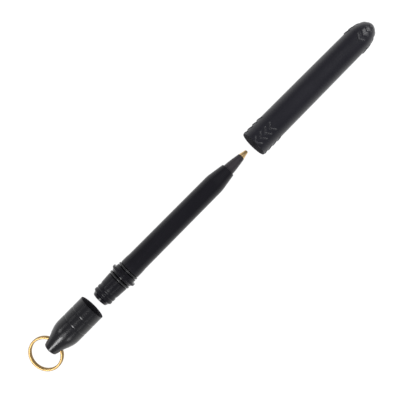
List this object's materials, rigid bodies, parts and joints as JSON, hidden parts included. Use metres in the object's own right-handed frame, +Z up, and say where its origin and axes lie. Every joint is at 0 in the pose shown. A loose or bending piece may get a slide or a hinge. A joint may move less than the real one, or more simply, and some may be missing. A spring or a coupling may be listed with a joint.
{
  "type": "pocket pen",
  "caption": "Pocket ballpoint pen shown open: tapered barrel with brass point, domed cap with raised chevrons, and an end cap with a gold split key ring.",
  "frame": {"origin": "centre of the barrel's flat rear face, on the pen's axis", "axes": "+X along the pen towards the writing point and the cap, +Z up from the surface that the open pen lies on"},
  "size_m": [0.1938, 0.0144, 0.012],
  "materials": {
    "cap_plastic": "satin moulded plastic",
    "barrel_plastic": "smooth satin moulded plastic",
    "cone_plastic": "satin moulded plastic",
    "seal_rubber": "smooth rubber",
    "point_brass": "turned brass",
    "ring_gold": "polished gold-coloured plating",
    "ball_carbide": "polished",
    "tube_plastic": "translucent",
    "ink": "liquid",
    "grease": "clear grease"
  },
  "bodies": {
    "barrel": {"barrel": "barrel_plastic", "front_seal_ring": "seal_rubber", "rear_seal_ring": "seal_rubber", "nose_cone": "cone_plastic", "point_socket": "point_brass", "ink_tube": "tube_plastic", "ink_column": "ink", "ink_follower": "grease"},
    "writing_ball": {"writing_ball": "ball_carbide"},
    "cap": {"cap": "cap_plastic"},
    "end_cap": {"end_cap": "cap_plastic"},
    "key_ring": {"key_ring": "ring_gold"}
  },
  "joints": [
    {"name": "cap_slide", "type": "slide", "parent": "barrel", "child": "cap", "axis": [-1, 0, 0], "range_m": [0, 0.0728]},
    {"name": "end_cap_slide", "type": "slide", "parent": "barrel", "child": "end_cap", "axis": [1, 0, 0], "range_m": [0, 0.01645]},
    {"name": "ring_swing", "type": "hinge", "parent": "end_cap", "child": "key_ring", "pos_m": [-0.0241, 0, 0], "axis": [0, 1, 0], "range_deg": [-125, 160]},
    {"name": "ball_roll", "type": "hinge", "parent": "barrel", "child": "writing_ball", "pos_m": [0.0827, 0, 0], "axis": [0, 1, 0], "continuous": true}
  ]
}
